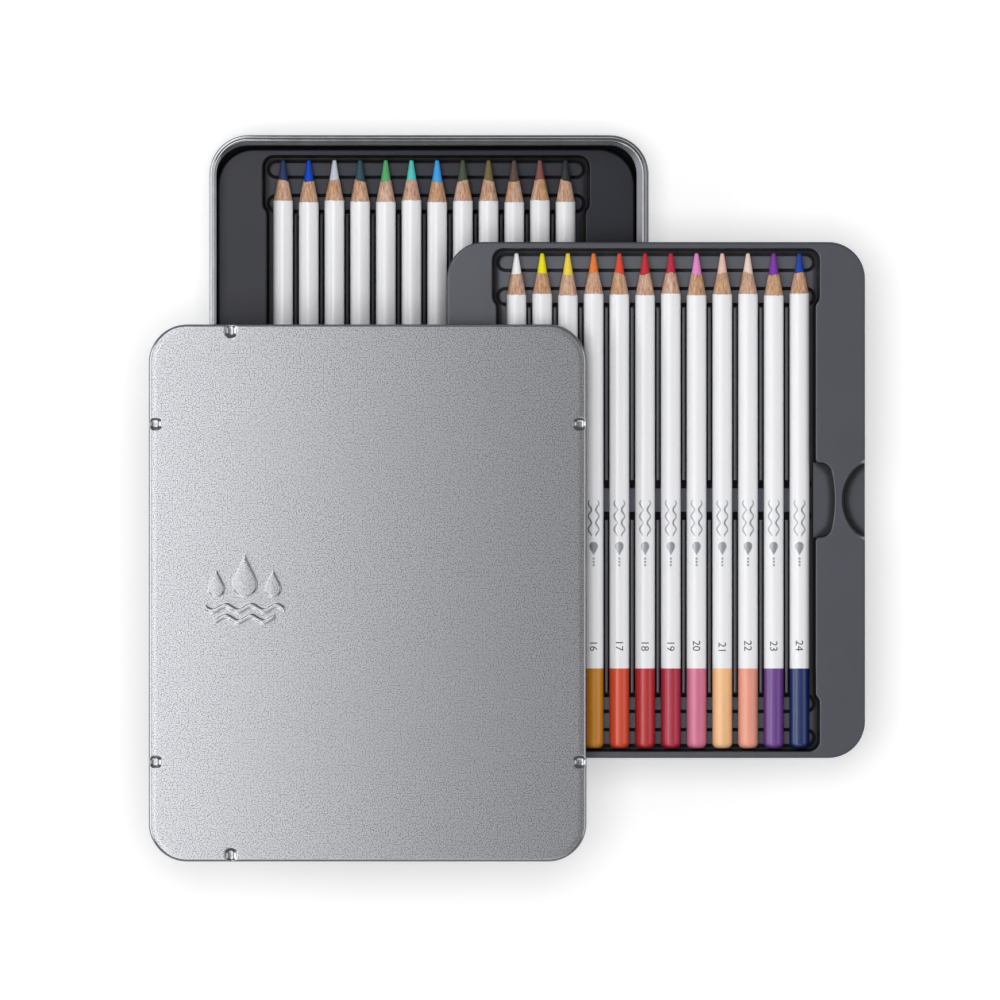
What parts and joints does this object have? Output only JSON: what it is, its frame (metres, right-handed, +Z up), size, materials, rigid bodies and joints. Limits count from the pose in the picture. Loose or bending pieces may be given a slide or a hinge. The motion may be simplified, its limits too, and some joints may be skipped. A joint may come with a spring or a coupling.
{
  "type": "watercolour pencil set",
  "caption": "Flat metal tin of watercolour pencils in two formed trays, shown opened: base with lower tray, upper tray across its rim, lid on top.",
  "frame": {"origin": "centre of the base tin's underside", "axes": "+Z up, +Y towards the pencil tips, +X towards the upper tray"},
  "size_m": [0.2533, 0.257, 0.0434],
  "materials": {
    "tinplate": "satin, fine grain",
    "lower_tray_plastic": "satin",
    "upper_tray_plastic": "satin",
    "lacquered_wood": "gloss lacquer",
    "navy": "matte pigment",
    "blue": "matte pigment",
    "light_grey": "matte pigment",
    "petrol": "matte pigment",
    "green": "matte pigment",
    "turquoise": "matte pigment",
    "sky_blue": "matte pigment",
    "olive_green": "matte pigment",
    "olive_brown": "matte pigment",
    "brown": "matte pigment",
    "brick": "matte pigment",
    "black": "matte pigment",
    "white": "matte pigment",
    "lemon": "matte pigment",
    "yellow": "matte pigment",
    "orange": "matte pigment",
    "vermilion": "matte pigment",
    "red": "matte pigment",
    "carmine": "matte pigment",
    "pink": "matte pigment",
    "peach": "matte pigment",
    "pale_pink": "matte pigment",
    "purple": "matte pigment",
    "royal_blue": "matte pigment"
  },
  "bodies": {
    "tin": {"base_tin": "tinplate"},
    "lower_tray": {"lower_tray": "lower_tray_plastic"},
    "upper_tray": {"upper_tray": "upper_tray_plastic"},
    "lid": {"lid": "tinplate"},
    "pencil_01": {"pencil_01_casing": "lacquered_wood", "pencil_01_lead": "navy"},
    "pencil_02": {"pencil_02_casing": "lacquered_wood", "pencil_02_lead": "blue"},
    "pencil_03": {"pencil_03_casing": "lacquered_wood", "pencil_03_lead": "light_grey"},
    "pencil_04": {"pencil_04_casing": "lacquered_wood", "pencil_04_lead": "petrol"},
    "pencil_05": {"pencil_05_casing": "lacquered_wood", "pencil_05_lead": "green"},
    "pencil_06": {"pencil_06_casing": "lacquered_wood", "pencil_06_lead": "turquoise"},
    "pencil_07": {"pencil_07_casing": "lacquered_wood", "pencil_07_lead": "sky_blue"},
    "pencil_08": {"pencil_08_casing": "lacquered_wood", "pencil_08_lead": "olive_green"},
    "pencil_09": {"pencil_09_casing": "lacquered_wood", "pencil_09_lead": "olive_brown"},
    "pencil_10": {"pencil_10_casing": "lacquered_wood", "pencil_10_lead": "brown"},
    "pencil_11": {"pencil_11_casing": "lacquered_wood", "pencil_11_lead": "brick"},
    "pencil_12": {"pencil_12_casing": "lacquered_wood", "pencil_12_lead": "black"},
    "pencil_13": {"pencil_13_casing": "lacquered_wood", "pencil_13_lead": "white"},
    "pencil_14": {"pencil_14_casing": "lacquered_wood", "pencil_14_lead": "lemon"},
    "pencil_15": {"pencil_15_casing": "lacquered_wood", "pencil_15_lead": "yellow"},
    "pencil_16": {"pencil_16_casing": "lacquered_wood", "pencil_16_lead": "orange"},
    "pencil_17": {"pencil_17_casing": "lacquered_wood", "pencil_17_lead": "vermilion"},
    "pencil_18": {"pencil_18_casing": "lacquered_wood", "pencil_18_lead": "red"},
    "pencil_19": {"pencil_19_casing": "lacquered_wood", "pencil_19_lead": "carmine"},
    "pencil_20": {"pencil_20_casing": "lacquered_wood", "pencil_20_lead": "pink"},
    "pencil_21": {"pencil_21_casing": "lacquered_wood", "pencil_21_lead": "peach"},
    "pencil_22": {"pencil_22_casing": "lacquered_wood", "pencil_22_lead": "pale_pink"},
    "pencil_23": {"pencil_23_casing": "lacquered_wood", "pencil_23_lead": "purple"},
    "pencil_24": {"pencil_24_casing": "lacquered_wood", "pencil_24_lead": "royal_blue"}
  },
  "joints": [
    {"name": "lower_tray_lift", "type": "slide", "parent": "tin", "child": "lower_tray", "axis": [0, 0, 1], "range_m": [0, 0.01]},
    {"name": "upper_tray_lift", "type": "slide", "parent": "tin", "child": "upper_tray", "axis": [0, 0, 1], "range_m": [0, 0.15]},
    {"name": "lid_lift", "type": "slide", "parent": "upper_tray", "child": "lid", "axis": [0, 0, 1], "range_m": [0, 0.1]},
    {"name": "pencil_01_lift", "type": "slide", "parent": "lower_tray", "child": "pencil_01", "axis": [0, 0, 1], "range_m": [0, 0.0108]},
    {"name": "pencil_02_lift", "type": "slide", "parent": "lower_tray", "child": "pencil_02", "axis": [0, 0, 1], "range_m": [0, 0.0108]},
    {"name": "pencil_03_lift", "type": "slide", "parent": "lower_tray", "child": "pencil_03", "axis": [0, 0, 1], "range_m": [0, 0.0108]},
    {"name": "pencil_04_lift", "type": "slide", "parent": "lower_tray", "child": "pencil_04", "axis": [0, 0, 1], "range_m": [0, 0.0108]},
    {"name": "pencil_05_lift", "type": "slide", "parent": "lower_tray", "child": "pencil_05", "axis": [0, 0, 1], "range_m": [0, 0.0108]},
    {"name": "pencil_06_lift", "type": "slide", "parent": "lower_tray", "child": "pencil_06", "axis": [0, 0, 1], "range_m": [0, 0.0108]},
    {"name": "pencil_07_lift", "type": "slide", "parent": "lower_tray", "child": "pencil_07", "axis": [0, 0, 1], "range_m": [0, 0.0108]},
    {"name": "pencil_08_lift", "type": "slide", "parent": "lower_tray", "child": "pencil_08", "axis": [0, 0, 1], "range_m": [0, 0.0108]},
    {"name": "pencil_09_lift", "type": "slide", "parent": "lower_tray", "child": "pencil_09", "axis": [0, 0, 1], "range_m": [0, 0.0108]},
    {"name": "pencil_10_lift", "type": "slide", "parent": "lower_tray", "child": "pencil_10", "axis": [0, 0, 1], "range_m": [0, 0.0108]},
    {"name": "pencil_11_lift", "type": "slide", "parent": "lower_tray", "child": "pencil_11", "axis": [0, 0, 1], "range_m": [0, 0.0108]},
    {"name": "pencil_12_lift", "type": "slide", "parent": "lower_tray", "child": "pencil_12", "axis": [0, 0, 1], "range_m": [0, 0.0108]},
    {"name": "pencil_13_roll", "type": "hinge", "parent": "upper_tray", "child": "pencil_13", "pos_m": [0.0309, -0.0344, 0.0268], "axis": [0, 1, 0], "continuous": true},
    {"name": "pencil_14_roll", "type": "hinge", "parent": "upper_tray", "child": "pencil_14", "pos_m": [0.04, -0.0344, 0.0268], "axis": [0, 1, 0], "continuous": true},
    {"name": "pencil_15_roll", "type": "hinge", "parent": "upper_tray", "child": "pencil_15", "pos_m": [0.04908, -0.0344, 0.0268], "axis": [0, 1, 0], "continuous": true},
    {"name": "pencil_16_roll", "type": "hinge", "parent": "upper_tray", "child": "pencil_16", "pos_m": [0.05817, -0.0344, 0.0268], "axis": [0, 1, 0], "continuous": true},
    {"name": "pencil_17_lift", "type": "slide", "parent": "upper_tray", "child": "pencil_17", "axis": [0, 0, 1], "range_m": [0, 0.08]},
    {"name": "pencil_18_lift", "type": "slide", "parent": "upper_tray", "child": "pencil_18", "axis": [0, 0, 1], "range_m": [0, 0.08]},
    {"name": "pencil_19_lift", "type": "slide", "parent": "upper_tray", "child": "pencil_19", "axis": [0, 0, 1], "range_m": [0, 0.08]},
    {"name": "pencil_20_lift", "type": "slide", "parent": "upper_tray", "child": "pencil_20", "axis": [0, 0, 1], "range_m": [0, 0.08]},
    {"name": "pencil_21_lift", "type": "slide", "parent": "upper_tray", "child": "pencil_21", "axis": [0, 0, 1], "range_m": [0, 0.08]},
    {"name": "pencil_22_lift", "type": "slide", "parent": "upper_tray", "child": "pencil_22", "axis": [0, 0, 1], "range_m": [0, 0.08]},
    {"name": "pencil_23_lift", "type": "slide", "parent": "upper_tray", "child": "pencil_23", "axis": [0, 0, 1], "range_m": [0, 0.08]},
    {"name": "pencil_24_lift", "type": "slide", "parent": "upper_tray", "child": "pencil_24", "axis": [0, 0, 1], "range_m": [0, 0.08]}
  ]
}
